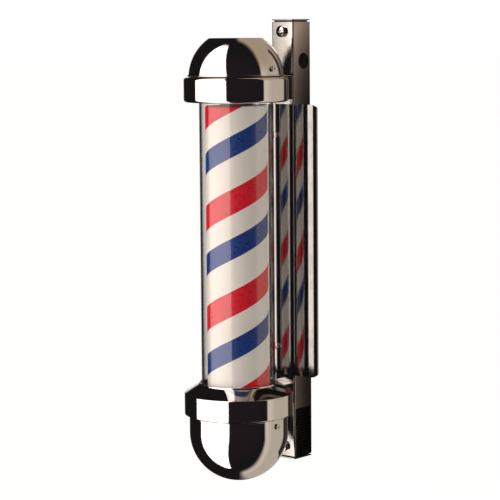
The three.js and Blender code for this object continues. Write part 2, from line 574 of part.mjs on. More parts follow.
function buildChassis() {
  const { bottom, thickness } = chassis;
  const hole = (radius, x, y, sides = FASTENER_ROUND) =>
    disc(radius, bottom - 1, thickness + 2, sides).translate(x, y, 0);
  const motorScrewPlaces = SIDES.map(([sideName, side]) =>
    [sideName, side * motor.screwSpacing / 2, -gearCentres]);
  add(pole, 'chassis_plate', cut(disc(chassis.radius, bottom, thickness),
    hole(motor.bossHole, 0, -gearCentres, 24), hole(chassis.cableHoleRadius, 0, chassis.cableHoleY, 24),
    hole(post.radius + GAP, 0, 0),
    ...motorScrewPlaces.map(([, x, y]) => hole(smallScrew.hole, x, y)),
    ...chassisScrewPlaces().map(([x, y]) => hole(smallScrew.hole, x, y))), steel);
  const downScrew = (name, x, y, length) => {
    const screw = screwGeometry(smallScrew.radius, length, smallScrew.headRadius, smallScrew.headThickness);
    add(pole, name, screw.rotateX(-Math.PI / 2), steel).position.set(x, y, chassis.top + GAP);
  };
  chassisScrewPlaces().forEach(([x, y], index) => downScrew(`chassis_screw_${index + 1}`, x, y, 4));
  motorScrewPlaces.forEach(([sideName, x, y]) => downScrew(`motor_screw_${sideName}`, x, y, 7));

  const flangeBottom = chassis.top + GAP;
  const flangeTop = flangeBottom + post.flangeThickness;
  const postBottom = bottom - postNut.thickness - 2;
  add(pole, 'pivot_post', turned([
    point(0, postBottom), point(post.radius, postBottom), point(post.radius, flangeBottom),
    point(post.flangeRadius, flangeBottom), point(post.flangeRadius, flangeTop),
    point(post.shoulderRadius, flangeTop), point(post.shoulderRadius, post.shoulderTop),
    point(post.radius, post.shoulderTop), point(post.radius, post.top), point(0, post.top),
  ], 24), steel);
  const nutOnPost = (nutBottom) =>
    hexNut(post.radius + GAP, postNut.radius, nutBottom, postNut.thickness);
  add(pole, 'post_nut', nutOnPost(bottom - GAP - postNut.thickness), steel);
  add(pole, 'retaining_nut', nutOnPost(hub.top + 1), steel);
  add(pole, 'thrust_washer', tubeBetween(post.radius + GAP, post.washerRadius, post.shoulderTop + GAP, 1, 24),
    nylon);

  // The gearbox is bored for its shaft and its two screws, and the can hangs under it.
  const gearboxBottom = motor.top - motor.gearboxHeight;
  const motorBay = new THREE.Group();
  motorBay.position.y = -gearCentres;
  pole.add(motorBay);
  const screwBores = SIDES.map(([, side]) =>
    disc(smallScrew.hole, motor.top - 6, 8, FASTENER_ROUND).translate(side * motor.screwSpacing / 2, 0, 0));
  add(motorBay, 'gearmotor_gearbox', cut(disc(motor.gearboxRadius, gearboxBottom, motor.gearboxHeight),
    disc(motor.shaftRadius + 0.4, motor.top - 7, 9, 24), ...screwBores), zincCast);
  const canBottom = gearboxBottom - GAP - motor.canHeight;
  add(motorBay, 'gearmotor_can', disc(motor.canRadius, canBottom, motor.canHeight), steel);
  const shaftBottom = motor.top - motor.shaftDepth;
  const shaftLength = gears.bottom + gears.thickness - shaftBottom;
  add(motorBay, 'motor_shaft', disc(motor.shaftRadius, shaftBottom, shaftLength, 24), steel);
  add(motorBay, 'pinion', pinionGeometry(), brass);
}

// ---- gears --------------------------------------------------------------------------------

// Involute spur gear outline. A tooth is centred on angle 0, turned by phase degrees.
function gearOutline(teeth, phase) {
  const pitchRadius = gears.module * teeth / 2;
  const baseRadius = pitchRadius * Math.cos(THREE.MathUtils.degToRad(gears.pressureAngle));
  const tipRadius = pitchRadius + gears.module * 0.9;
  const rootRadius = pitchRadius - gears.module * 1.25;
  const involute = (angle) => Math.tan(angle) - angle;
  const rollAt = (radius) => involute(Math.acos(Math.min(1, baseRadius / radius)));
  const halfThickness = (Math.PI * gears.module - gears.backlash) / 4 / pitchRadius;
  const flankAngle = (radius) => halfThickness + rollAt(pitchRadius) - rollAt(radius);
  const start = Math.max(rootRadius, baseRadius);
  const radii = [rootRadius, start + (tipRadius - start) * 0.4, tipRadius];
  return Array.from({ length: teeth }, (_, tooth) => {
    const middle = 2 * Math.PI * tooth / teeth + THREE.MathUtils.degToRad(phase);
    const polar = (radius, angle) =>
      point(radius * Math.cos(middle + angle), radius * Math.sin(middle + angle));
    return [
      ...radii.map((radius) => polar(radius, -flankAngle(Math.max(radius, start)))),
      ...radii.map((radius) => polar(radius, flankAngle(Math.max(radius, start)))).reverse(),
    ];
  }).flat();
}

function pinionGeometry() {
  // A tooth space faces the drum gear, whose tooth points straight at the motor.
  const teeth = prism(gearOutline(gears.pinionTeeth, 90 + 180 / gears.pinionTeeth), gears.bottom + GAP,
    gears.thickness - 2 * GAP);
  const boss = disc(5, gears.bottom - 4, 5, 24);
  return cut(join(teeth, boss), disc(motor.shaftRadius + GAP, gears.bottom - 6, gears.thickness + 8, 24));
}

// ---- drum ---------------------------------------------------------------------------------

function buildDrum() {
  const inner = drum.radius - drum.wall;
  const capBottom = drum.top - drum.capSkirt;
  const sleeveHeight = capBottom - GAP - drum.bottom;
  add(pole, 'drum_sleeve', tubeBetween(inner, drum.radius, drum.bottom, sleeveHeight), whitePlastic);

  const spigot = inner - GAP;
  const bore = guide.outer + 0.6;
  const panelBottom = drum.top - drumCap.panel;
  add(pole, 'drum_top_cap', turned([
    point(bore, drumCap.collarBottom), point(drumCap.collarRadius, drumCap.collarBottom),
    point(drumCap.collarRadius, panelBottom), point(drumCap.spigotInner, panelBottom),
    point(drumCap.spigotInner, drumCap.spigotBottom), point(spigot, drumCap.spigotBottom),
    point(spigot, capBottom), point(drum.radius, capBottom),
    ...arc(drum.radius - drum.cornerRadius, drum.top - drum.cornerRadius, drum.cornerRadius, 0, 90, 3),
    point(bore, drum.top), point(bore, drumCap.collarBottom),
  ]), whitePlastic);

  const floor = drum.bottom - GAP;
  const floorBottom = floor - drumFloor.thickness;
  const spigotTop = floor + drumFloor.spigotHeight;
  const spigotInner = spigot - drumFloor.spigotWall;
  add(pole, 'drum_base', turned([
    point(hub.bore, hub.bottom), point(hub.radius, hub.bottom), point(hub.radius, floorBottom),
    point(drum.radius, floorBottom), point(drum.radius, floor), point(spigot, floor),
    point(spigot, spigotTop), point(spigotInner, spigotTop), point(spigotInner, floor),
    point(hub.radius, floor), point(hub.radius, hub.top), point(hub.bore, hub.top),
    point(hub.bore, hub.bottom),
  ]), blackPlastic);
  add(pole, 'drum_gear', cut(prism(gearOutline(gears.drumTeeth, -90), gears.bottom, gears.thickness),
    disc(hub.radius + GAP, gears.bottom - 1, gears.thickness + 2)), nylon);
  const bushingBottom = hub.bottom - 0.4;
  add(pole, 'drum_bushing', tubeBetween(post.radius + GAP, hub.bore - GAP, bushingBottom,
    hub.top - bushingBottom, 24), brass);
}

// ---- wiring -------------------------------------------------------------------------------

// Both cables run in the plane X = 0. Their points are (y, z), chosen by hand.
function cable(name, route) {
  const points = route.map(([y, z]) => new THREE.Vector3(0, y, z));
  const path = new THREE.CatmullRomCurve3(points, false, 'centripetal');
  const section = new THREE.Shape(arc(0, 0, cableRadius, 0, 315, 7));
  const options = { steps: route.length * 3, extrudePath: path, bevelEnabled: false };
  add(light, name, new THREE.ExtrudeGeometry(section, options), blackRubber);
}

function buildWiring() {
  cable('lamp_cable', [
    [-121.5, 224.5], [-110, 229], [-97, 234], [-87, 230], [-79, 221.5], [-70, 215], [-60, 214.4],
    [-42, 214.4], [-28, 213], [-15, 205], [-9, 194], [-9, 186.4],
  ]);
  cable('motor_cable', [
    [-150.9, -249], [-140, -251], [-112, -247], [-98, -237], [-95.1, -225.7], [-92, -218.5], [-84, -214.8],
    [-70, -214.4], [-42, -214.4], [-28, -213], [-15, -205], [-9, -190], [-9, -60], [-9, 149.6],
  ]);
}

buildRail();
buildBracket();
buildBracketFittings();
buildReflector();
buildArm('upper', 1, top.ringRadius);
buildArm('lower', -1, base.ringRadius);
buildTopRing();
buildTopDome();
buildGlass();
buildLamp();
buildBaseRing();
buildBaseDome();
buildChassis();
buildDrum();
buildWiring();

export default light;
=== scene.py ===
"""Visual model of the wall-mounted barber pole light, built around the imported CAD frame."""

import json
from math import acos, asin, cos, degrees, hypot, pi, radians, sin, sqrt, tan

import bmesh
import bpy
from mathutils import Matrix, Vector


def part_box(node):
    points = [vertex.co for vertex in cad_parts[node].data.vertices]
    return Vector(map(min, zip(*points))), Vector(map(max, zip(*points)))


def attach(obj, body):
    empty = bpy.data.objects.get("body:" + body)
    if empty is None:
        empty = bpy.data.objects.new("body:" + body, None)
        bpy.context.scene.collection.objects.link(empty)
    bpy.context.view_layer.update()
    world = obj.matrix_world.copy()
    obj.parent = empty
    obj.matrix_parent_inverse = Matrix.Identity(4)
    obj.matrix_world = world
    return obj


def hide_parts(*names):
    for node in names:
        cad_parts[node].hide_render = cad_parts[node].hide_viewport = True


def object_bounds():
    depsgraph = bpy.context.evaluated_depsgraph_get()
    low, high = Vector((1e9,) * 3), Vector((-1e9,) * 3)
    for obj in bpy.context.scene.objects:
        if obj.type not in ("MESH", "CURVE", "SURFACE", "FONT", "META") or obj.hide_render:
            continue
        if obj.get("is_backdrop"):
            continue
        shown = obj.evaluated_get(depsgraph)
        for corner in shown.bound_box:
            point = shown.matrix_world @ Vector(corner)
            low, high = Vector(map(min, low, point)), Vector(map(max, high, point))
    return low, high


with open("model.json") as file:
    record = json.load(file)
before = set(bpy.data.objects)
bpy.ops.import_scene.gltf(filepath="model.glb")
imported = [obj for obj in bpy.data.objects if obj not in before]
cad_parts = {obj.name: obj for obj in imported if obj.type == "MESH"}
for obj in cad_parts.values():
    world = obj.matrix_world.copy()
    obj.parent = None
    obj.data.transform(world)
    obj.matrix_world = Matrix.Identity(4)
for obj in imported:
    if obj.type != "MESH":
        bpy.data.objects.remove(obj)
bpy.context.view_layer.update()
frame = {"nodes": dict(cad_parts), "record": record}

MM = 0.001
UP = Vector((0, 0, 1))


# ---- places and sizes, from the frame ------------------------------------------------------

def joint_position(name):
    joint = next(j for j in frame["record"]["behaviour"]["joints"] if j["name"] == name)
    return Vector(joint["pos_m"])


def radius_of(node):
    low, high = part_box(node)
    return (high[0] - low[0]) / 2


def middle_of(node):
    low, high = (Vector(corner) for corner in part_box(node))
    return (low + high) / 2


AXIS = Vector((0, joint_position("drum_spin").y, 0))
COVER_LOW, COVER_HIGH = (Vector(corner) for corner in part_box("bracket_cover"))
HALF_BRACKET = COVER_HIGH.x
BRACKET_FRONT = COVER_LOW.y
SHEET = 1.5 * MM             # wall of the bracket and the domes
CASTING = 2 * MM             # wall of the two rings
BEND = 2.5 * MM              # outside radius of the bracket's corners
GAP = 0.3 * MM               # between touching pieces
WIRE_BORE, BOLT_HOLE = 6 * MM, 2.8 * MM     # radii of the holes in the arms and behind them
BOLT_OFFSET = 12.5 * MM      # from an arm's middle to each of its bolts
SEAM, BEAD = 1.1 * MM, 1.6 * MM     # heights of the groove and the bead where a dome meets its ring

STRIPE_LEAD = 137.5 * MM     # height of one full turn of the spiral
RED_PHASE = 0.395            # where along the lead the red stripe is centred
RED_SHARE, BLUE_SHARE = 0.25, 0.212
BLUE_BELOW_RED = 0.46

FILM_PAINTED_GLOW = 0.30             # painted glow in the drum's film, as a share of its colour, to brighten it beyond the studio's light
STUDIO_AZIMUTH = 40          # degrees round to the right that the studio is seen from


# ---- mesh helpers --------------------------------------------------------------------------

def arc(centre_x, centre_y, radius, start, end, steps):
    """Points of an arc, from start to end in degrees."""
    angles = [radians(start + (end - start) * i / steps) for i in range(steps + 1)]
    return [(centre_x + radius * cos(a), centre_y + radius * sin(a)) for a in angles]


def rounded(corners, steps=4, closed=True):
    """Outline through (x, y) or (x, y, fillet) corners, each fillet made as an arc."""
    points = []
    count = len(corners)
    for i, corner in enumerate(corners):
        here = Vector(corner[:2])
        fillet = corner[2] if len(corner) > 2 else 0
        if not fillet or (not closed and i in (0, count - 1)):
            points.append(tuple(here))
            continue
        to_before = Vector(corners[i - 1][:2]) - here
        to_after = Vector(corners[(i + 1) % count][:2]) - here
        half = to_before.angle(to_after) / 2
        setback = min(fillet / tan(half), 0.49 * to_before.length, 0.49 * to_after.length)
        radius = setback * tan(half)
        inward = (to_before.normalized() + to_after.normalized()).normalized()
        centre = here + inward * (radius / sin(half))
        start = here + to_before.normalized() * setback - centre
        end = here + to_after.normalized() * setback - centre
        sweep = start.angle_signed(end)
        for step in range(steps + 1):
            spoke = Matrix.Rotation(-sweep * step / steps, 2) @ start
            points.append(tuple(centre + spoke))
    return points


def finish_mesh(obj, sharp=32):
    """Outward normals, smooth faces with sharp edges, and flat faces that stay optically flat."""
    mesh = obj.data
    editable = bmesh.new()
    editable.from_mesh(mesh)
    bmesh.ops.remove_doubles(editable, verts=editable.verts, dist=1e-7)
    bmesh.ops.recalc_face_normals(editable, faces=editable.faces)
    editable.to_mesh(mesh)
    editable.free()
    mesh.polygons.foreach_set("use_smooth", [True] * len(mesh.polygons))
    mesh.set_sharp_from_angle(angle=radians(sharp))
    weighted = obj.modifiers.new("flat faces lead", "WEIGHTED_NORMAL")
    weighted.keep_sharp = True
    return obj


def new_object(name, vertices, faces):
    mesh = bpy.data.meshes.new(name)
    mesh.from_pydata(vertices, [], faces)
    obj = bpy.data.objects.new(name, mesh)
    bpy.context.scene.collection.objects.link(obj)
    return obj


def lathe(name, profile, centre=AXIS, closed=True, segments=192):
    """Turns (radius, z) points about a vertical line. An open profile starts and ends on that line."""
    vertices, rings = [], []
    for radius, z in profile:
        on_axis = radius < 1e-9
        turns = 1 if on_axis else segments
        rings.append((len(vertices), turns))
        for k in range(turns):
            angle = 2 * pi * k / segments
            vertices.append((centre.x + radius * cos(angle), centre.y + radius * sin(angle), z))
    pairs = list(zip(rings, rings[1:]))
    if closed:
        pairs.append((rings[-1], rings[0]))
    faces = []
    for (low, low_turns), (high, high_turns) in pairs:
        for k in range(segments):
            ahead = (k + 1) % segments
            face = [low + k % low_turns, low + ahead % low_turns,
                    high + ahead % high_turns, high + k % high_turns]
            face = list(dict.fromkeys(face))
            if len(face) > 2:
                faces.append(face)
    return finish_mesh(new_object(name, vertices, faces))


def prism(name, outline, low, high):
    """Extrudes an (x, y) outline from z = low to z = high."""
    count = len(outline)
    vertices = [(x, y, low) for x, y in outline] + [(x, y, high) for x, y in outline]
    sides = [(i, (i + 1) % count, count + (i + 1) % count, count + i) for i in range(count)]
    ends = [tuple(range(count))[::-1], tuple(range(count, 2 * count))]
    return new_object(name, vertices, sides + ends)


def bevelled(obj, width, segments=3, angle=50):
    bevel = obj.modifiers.new("edges", "BEVEL")
    bevel.width = width
    bevel.segments = segments
    bevel.limit_method = "ANGLE"
    bevel.angle_limit = radians(angle)
    return apply_modifiers(obj)


def apply_modifiers(obj):
    evaluated = obj.evaluated_get(bpy.context.evaluated_depsgraph_get())
    mesh = bpy.data.meshes.new_from_object(evaluated)
    obj.modifiers.clear()
    obj.data = mesh
    return obj


def drilled(obj, cutters):
    """Cuts holes with the given solids, which are used up."""
    for cutter in cutters:
        hole = obj.modifiers.new("hole", "BOOLEAN")
        hole.operation = "DIFFERENCE"
        hole.solver = "EXACT"
        hole.object = cutter
    apply_modifiers(obj)
    for cutter in cutters:
        bpy.data.objects.remove(cutter)
    return obj


def bar(radius, start, end, sides=64):
    """A plain round bar between two points, used as a drill."""
    start, end = Vector(start), Vector(end)
    turn = UP.rotation_difference(end - start).to_matrix()
    angles = [2 * pi * k / sides for k in range(sides)]
    rim = [Vector((radius * cos(angle), radius * sin(angle), 0)) for angle in angles]
    vertices = [start + turn @ p for p in rim] + [end + turn @ p for p in rim]
    walls = [(k, (k + 1) % sides, sides + (k + 1) % sides, sides + k) for k in range(sides)]
    ends = [tuple(range(sides))[::-1], tuple(range(sides, 2 * sides))]
    return new_object("drill", vertices, walls + ends)


def placed(obj, body, material, *nodes):
    """Gives a piece its material, lets it ride on its body, and stands it in for its CAD nodes."""
    obj.data.materials.clear()
    obj.data.materials.append(material)
    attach(obj, body)
    if nodes:
        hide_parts(*nodes)
    return obj


def painted(obj, material, chosen):
    """Gives a second material to the faces whose middles are chosen."""
    obj.data.materials.append(material)
    for face in obj.data.polygons:
        if chosen(face.center):
            face.material_index = len(obj.data.materials) - 1


def from_axis(place):
    return hypot(place.x - AXIS.x, place.y - AXIS.y)


def in_groove(low, high, radius):
    """Whether a place is on the narrow band of the given radius between two heights."""
    return lambda place: low < place.z < high and from_axis(place) > radius - 0.5 * MM


# ---- shader helpers ------------------------------------------------------------------------

class Shader:
    """Adds nodes to a tree in one call each. An input is a number, a colour or another node's output."""

    def __init__(self, tree):
        self.tree = tree

    def node(self, kind, inputs=None, output=0, **settings):
        node = self.tree.nodes.new(f"ShaderNode{kind}")
        for name, value in settings.items():
            setattr(node, name, value)
        for key, value in (inputs or {}).items():
            socket = node.inputs[key]
            if isinstance(value, bpy.types.NodeSocket):
                self.tree.links.new(value, socket)
            else:
                socket.default_value = value
        return node.outputs[output]

    def math(self, operation, *values):
        return self.node("Math", dict(enumerate(values)), operation=operation)

    def smooth_step(self, value, low, high, to_low=0.0, to_high=1.0):
        inputs = {"Value": value, "From Min": low, "From Max": high, "To Min": to_low, "To Max": to_high}
        return self.node("MapRange", inputs, interpolation_type="SMOOTHSTEP")

    def mix(self, factor, first, second):
        inputs = {0: factor, 6: first, 7: second}
        return self.node("Mix", inputs, output=2, data_type="RGBA")

    def noise(self, vector, scale, detail=3.0, roughness=0.5):
        inputs = {"Vector": vector, "Scale": scale, "Detail": detail, "Roughness": roughness}
        return self.node("TexNoise", inputs, output="Fac")

    def stretched(self, scale):
        """Object coordinates, stretched by a factor along each axis."""
        place = self.node("TexCoord", output="Object")
        return self.node("Mapping", {"Vector": place, "Scale": scale})

    def bump(self, height, strength, distance=0.0005):
        inputs = {"Height": height, "Strength": strength, "Distance": distance}
        return self.node("Bump", inputs, output="Normal")


def principled(name, colour, roughness, metallic=0.0, **extra):
    """A material, its shader and its helper. Constants sit on the shader's own sockets."""
    material = bpy.data.materials.new(name)
    material.use_nodes = True
    shader = material.node_tree.nodes["Principled BSDF"]
    shader.inputs["Base Color"].default_value = (*colour, 1)
    shader.inputs["Roughness"].default_value = roughness
    shader.inputs["Metallic"].default_value = metallic
    for socket, value in extra.items():
        shader.inputs[socket.replace("_", " ")].default_value = value
    return material, shader, Shader(material.node_tree)


def link(helper, output, shader, socket):
    helper.tree.links.new(output, shader.inputs[socket])


def metal(name, colour, dark_colour, smooth, rough, grain=(260, 260, 260), depth=0.03):
    """Polished metal: cloudy gloss, faint stain and a fine grain, stretched as the piece was worked."""
    material, shader, s = principled(name, colour, rough, metallic=1.0)
    clouds = s.noise(s.stretched((1, 1, 1)), 38, detail=4)
    scratches = s.noise(s.stretched(grain), 6, detail=5, roughness=0.6)
    wear = s.math("MULTIPLY_ADD", clouds, 0.7, s.math("MULTIPLY", scratches, 0.3))
    link(s, s.smooth_step(wear, 0.3, 0.75, smooth, rough), shader, "Roughness")
    link(s, s.mix(s.smooth_step(clouds, 0.45, 0.8), (*colour, 1), (*dark_colour, 1)), shader, "Base Color")
    link(s, s.bump(scratches, depth, 0.0002), shader, "Normal")
    return material


def moulded(name, colour, shade, roughness, texture=900, depth=0.15, **extra):
    """Moulded plastic or rubber: a fine texture, and a slow drift in colour and gloss."""
    material, shader, s = principled(name, colour, roughness, **extra)
    drift = s.noise(s.stretched((1, 1, 1)), 24, detail=3)
    grain = s.noise(s.stretched((1, 1, 1)), texture, detail=2)
    link(s, s.mix(s.smooth_step(drift, 0.3, 0.7), (*colour, 1), (*shade, 1)), shader, "Base Color")
    gloss = s.smooth_step(grain, 0.2, 0.8, roughness - 0.06, roughness + 0.08)
    link(s, gloss, shader, "Roughness")
    link(s, s.bump(grain, depth, 0.0001), shader, "Normal")
    return material


def striped_film():
    """White printed film with one red and one blue stripe that climb to the right."""
    white, shade = (0.93, 0.85, 0.77, 1), (0.89, 0.80, 0.72, 1)
    red, blue = (0.76, 0.015, 0.032, 1), (0.016, 0.048, 0.230, 1)
    material, shader, s = principled("striped_film", white[:3], 0.32)
    place = s.node("TexCoord", output="Object")
    axes = s.node("SeparateXYZ", {0: place}).node.outputs
    depth = s.math("SUBTRACT", AXIS.y, axes["Y"])
    turns = s.math("DIVIDE", s.math("ARCTAN2", axes["X"], depth), 2 * pi)
    bleed = s.math("MULTIPLY", s.math("SUBTRACT", s.noise(place, 420, detail=3), 0.5), 0.004)
    climb = s.math("ADD", s.math("DIVIDE", axes["Z"], STRIPE_LEAD), bleed)
    along = s.math("SUBTRACT", climb, turns)

    def stripe(centre, share):
        offset = s.math("FRACT", s.math("SUBTRACT", along, centre - 0.5))
        distance = s.math("ABSOLUTE", s.math("SUBTRACT", offset, 0.5))
        edge = 0.003
        return s.smooth_step(distance, share / 2 + edge, share / 2 - edge)

    ink = s.noise(place, 260, detail=4)
    paper = s.mix(s.smooth_step(s.noise(place, 14, detail=3), 0.35, 0.7), white, shade)
    faded_red = s.mix(s.smooth_step(ink, 0.35, 0.75, 0, 0.35), red, (0.77, 0.033, 0.047, 1))
    faded_blue = s.mix(s.smooth_step(ink, 0.35, 0.75, 0, 0.35), blue, (0.028, 0.06, 0.22, 1))
    with_red = s.mix(stripe(RED_PHASE, RED_SHARE), paper, faded_red)
    with_both = s.mix(stripe(RED_PHASE - BLUE_BELOW_RED, BLUE_SHARE), with_red, faded_blue)

    # The film's ends overlap in one vertical seam at the back.
    seam_distance = s.math("SUBTRACT", 0.5, s.math("ABSOLUTE", turns))
    seam = s.smooth_step(seam_distance, 0.0022, 0.0012)
    printed = s.mix(s.math("MULTIPLY", seam, 0.35), with_both, (0.3, 0.28, 0.25, 1))
    link(s, printed, shader, "Base Color")
    link(s, printed, shader, "Emission Color")      # painted glow: the film shines by itself so that it looks better lit
    shader.inputs["Emission Strength"].default_value = FILM_PAINTED_GLOW
    link(s, s.smooth_step(ink, 0.3, 0.7, 0.26, 0.38), shader, "Roughness")
    relief = s.math("MULTIPLY_ADD", seam, 2, s.noise(place, 90, detail=3))
    link(s, s.bump(relief, 0.05), shader, "Normal")
    return material


def clear_glass(name, smear, colour=(0.985, 0.99, 0.985)):
    """Clear glass, a little wavy, and smeared in patches."""
    material, shader, s = principled(name, colour, 0.0, IOR=1.47, Transmission_Weight=1.0)
    film = s.noise(s.stretched((1, 1, 0.25)), 16, detail=4)
    link(s, s.smooth_step(film, 0.55, 0.85, 0.0, smear), shader, "Roughness")
    link(s, s.bump(s.noise(s.stretched((1, 1, 0.1)), 22, detail=1), 0.02), shader, "Normal")
    return material


def ruled_label():
    """Blank dark label with a thin pale frame and rules, and no lettering."""
    low, high = (Vector(corner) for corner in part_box("rating_label"))
    material, shader, s = principled("ruled_label", (0.008, 0.008, 0.010), 0.5, Specular_IOR_Level=0.15)
    axes = s.node("SeparateXYZ", {0: s.node("TexCoord", output="Object")}).node.outputs
    margin, line = 1.8 * MM, 0.18 * MM

    def near(value, place):
        return s.smooth_step(s.math("ABSOLUTE", s.math("SUBTRACT", value, place)), line * 1.5, line)

    def inside(value, start, end):
        return s.math("MULTIPLY", s.math("GREATER_THAN", value, start), s.math("LESS_THAN", value, end))

    within_y = inside(axes["Y"], low.y + margin - line, high.y - margin + line)
    within_z = inside(axes["Z"], low.z + margin - line, high.z - margin + line)
    uprights = s.math("MAXIMUM", near(axes["Y"], low.y + margin), near(axes["Y"], high.y - margin))
    marks = s.math("MULTIPLY", uprights, within_z)
    rows = 16
    pitch = (high.z - low.z - 2 * margin) / rows
    for row in range(rows + 1):
        rule = s.math("MULTIPLY", near(axes["Z"], low.z + margin + row * pitch), within_y)
        marks = s.math("MAXIMUM", marks, rule)
    worn = s.smooth_step(s.noise(s.stretched((1, 1, 1)), 300, detail=3), 0.3, 0.6)
    ink = s.math("MULTIPLY", marks, s.math("MULTIPLY", worn, 0.4))
    link(s, s.mix(ink, (0.008, 0.008, 0.010, 1), (0.36, 0.33, 0.30, 1)), shader, "Base Color")
    link(s, s.bump(s.noise(s.stretched((1, 1, 1)), 800), 0.1, 0.0001), shader, "Normal")
    return material


CHROME = metal("chrome", (0.83, 0.80, 0.78), (0.78, 0.74, 0.71), 0.02, 0.075, grain=(60, 60, 700))
BRIGHT_STEEL = metal("bright_steel", (0.74, 0.71, 0.68), (0.69, 0.65, 0.62), 0.07, 0.17,
                     grain=(900, 900, 14), depth=0.06)
REFLECTOR_STEEL = metal("reflector_steel", (0.46, 0.44, 0.425), (0.42, 0.40, 0.385), 0.10, 0.18,
                        grain=(700, 700, 10))
# painted shade: a near-black finish for the domes' grooves, standing in for the shadow inside them
GROOVE_SHADE = moulded("painted_groove_shade", (0.020, 0.016, 0.014), (0.035, 0.028, 0.024), 0.7, depth=0.3)
ZINC = metal("zinc_plate", (0.62, 0.62, 0.60), (0.50, 0.49, 0.46), 0.25, 0.42, depth=0.12)
CAST = metal("die_casting", (0.50, 0.50, 0.51), (0.42, 0.42, 0.43), 0.4, 0.6, depth=0.3)
BRASS = metal("brass", (0.72, 0.55, 0.27), (0.55, 0.38, 0.16), 0.2, 0.38, depth=0.1)
WHITE_PLASTIC = moulded("white_plastic", (0.84, 0.80, 0.74), (0.78, 0.74, 0.66), 0.35)
NYLON = moulded("nylon", (0.78, 0.74, 0.64), (0.70, 0.66, 0.55), 0.5)
BLACK_PLASTIC = moulded("black_plastic", (0.022, 0.022, 0.025), (0.03, 0.03, 0.033), 0.5, depth=0.3)
RUBBER = moulded("black_rubber", (0.018, 0.018, 0.018), (0.03, 0.029, 0.028), 0.72, texture=500, depth=0.4)
PORCELAIN = moulded("porcelain", (0.86, 0.84, 0.78), (0.80, 0.77, 0.70), 0.2, texture=200, depth=0.05)
FROSTED = moulded("frosted_glass", (0.92, 0.90, 0.85), (0.88, 0.85, 0.78), 0.5, Transmission_Weight=0.4)
GLASS = clear_glass("clear_glass", 0.012)
FILM = striped_film()
LABEL = ruled_label()

SLOT_MATERIALS = {
    "chrome": CHROME, "polished_sheet": REFLECTOR_STEEL, "zinc_steel": ZINC, "gearbox_zinc": CAST,
    "brass": BRASS, "clear_glass": GLASS, "frosted_glass": FROSTED, "drum_print": FILM,
    "white_plastic": WHITE_PLASTIC,
    "nylon": NYLON, "black_plastic": BLACK_PLASTIC, "black_rubber": RUBBER, "porcelain": PORCELAIN,
    "dark_label": LABEL,
}


def dress_cad_nodes():
    """Every CAD node that stays gets its slot's procedural material."""
    for part in frame["record"]["subparts"]:
        obj = frame["nodes"][part["node"]]
        obj.data.materials.clear()
        obj.data.materials.append(SLOT_MATERIALS[part["material_slot"]])


# ---- the pole's turned pieces --------------------------------------------------------------

def build_top():
    ring_radius = radius_of("top_ring")
    ring_low, ring_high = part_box("top_ring")
    dome_low, dome_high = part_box("top_dome")
    ring_top = dome_low[2] - GAP
    band, edge = 4 * MM, 0.4 * MM
    spigot, socket, socket_top = 60.6 * MM, 52.4 * MM, 216 * MM
    floor = ring_low[2] + CASTING
    collar = radius_of("glass_cylinder") + 0.7 * MM
    ring = [
        (collar, ring_low[2], edge), (ring_radius, ring_low[2], band), (ring_radius, ring_top, band),
        (spigot, ring_top, edge), (spigot, ring_high[2], edge), (spigot - CASTING, ring_high[2], edge),
        (spigot - CASTING, ring_top - CASTING, edge), (ring_radius - CASTING, ring_top - CASTING, CASTING),
        (ring_radius - CASTING, floor, CASTING), (socket + 2 * CASTING, floor, edge),
        (socket + 2 * CASTING, socket_top, edge), (socket, socket_top, edge), (socket, floor, edge),
        (collar, floor, edge),
    ]
    placed(lathe("top_ring_turned", rounded(ring, steps=8)), "frame", CHROME, "top_ring")

    dome_radius, foot, centre = 64.7 * MM, dome_low[2], 231.9 * MM
    bead_radius = radius_of("top_dome")
    bead_low, bead_top = foot + SEAM, foot + SEAM + BEAD
    inner = dome_radius - SHEET

    def sphere_radius(z, radius):
        return sqrt(radius ** 2 - (z - centre) ** 2)

    foot_angle = degrees(asin((foot + MM - centre) / inner))
    shoulder_angle = degrees(asin((bead_top + MM - centre) / dome_radius))
    shoulder = dome_radius * cos(radians(shoulder_angle))
    flat_radius = sphere_radius(dome_high[2], dome_radius)
    flat_angle = degrees(acos(flat_radius / dome_radius))
    ceiling = dome_high[2] - SHEET
    inner_angle = degrees(asin((ceiling - centre) / inner))
    rim = 2.2                      # degrees of the dome given to the rounded rim of its flat top
    rim_angle = radians(flat_angle - rim)
    softening = rounded([
        (dome_radius * cos(rim_angle), centre + dome_radius * sin(rim_angle)),
        (flat_radius, dome_high[2], 2.4 * MM), (flat_radius - 3 * MM, dome_high[2])], steps=8, closed=False)
    outer_foot = sphere_radius(foot, dome_radius)
    bead = rounded([
        (sphere_radius(foot + MM, inner), foot + MM), (sphere_radius(foot, inner), foot, 0.3 * MM),
        (outer_foot, foot, 0.1 * MM), (outer_foot, bead_low, 0.2 * MM), (bead_radius, bead_low, 0.6 * MM),
        (bead_radius, bead_top, 0.6 * MM), (shoulder, bead_top, 0.15 * MM), (shoulder, bead_top + MM)],
        closed=False)[1:-1]
    profile = [(0, ceiling), *arc(0, centre, inner, inner_angle, foot_angle, 40), *bead,
               *arc(0, centre, dome_radius, shoulder_angle, flat_angle - rim, 56)[:-1], *softening,
               (0, dome_high[2])]
    dome = lathe("top_dome_turned", profile, closed=False)
    placed(dome, "frame", CHROME, "top_dome")
    # painted shade: the groove between the top dome and its ring is made near-black
    painted(dome, GROOVE_SHADE, in_groove(foot, bead_low, outer_foot))
    # painted shade: a thin dark band on the dome just above its bead
    painted(dome, GROOVE_SHADE, in_groove(bead_top, bead_top + 0.5 * MM, shoulder))


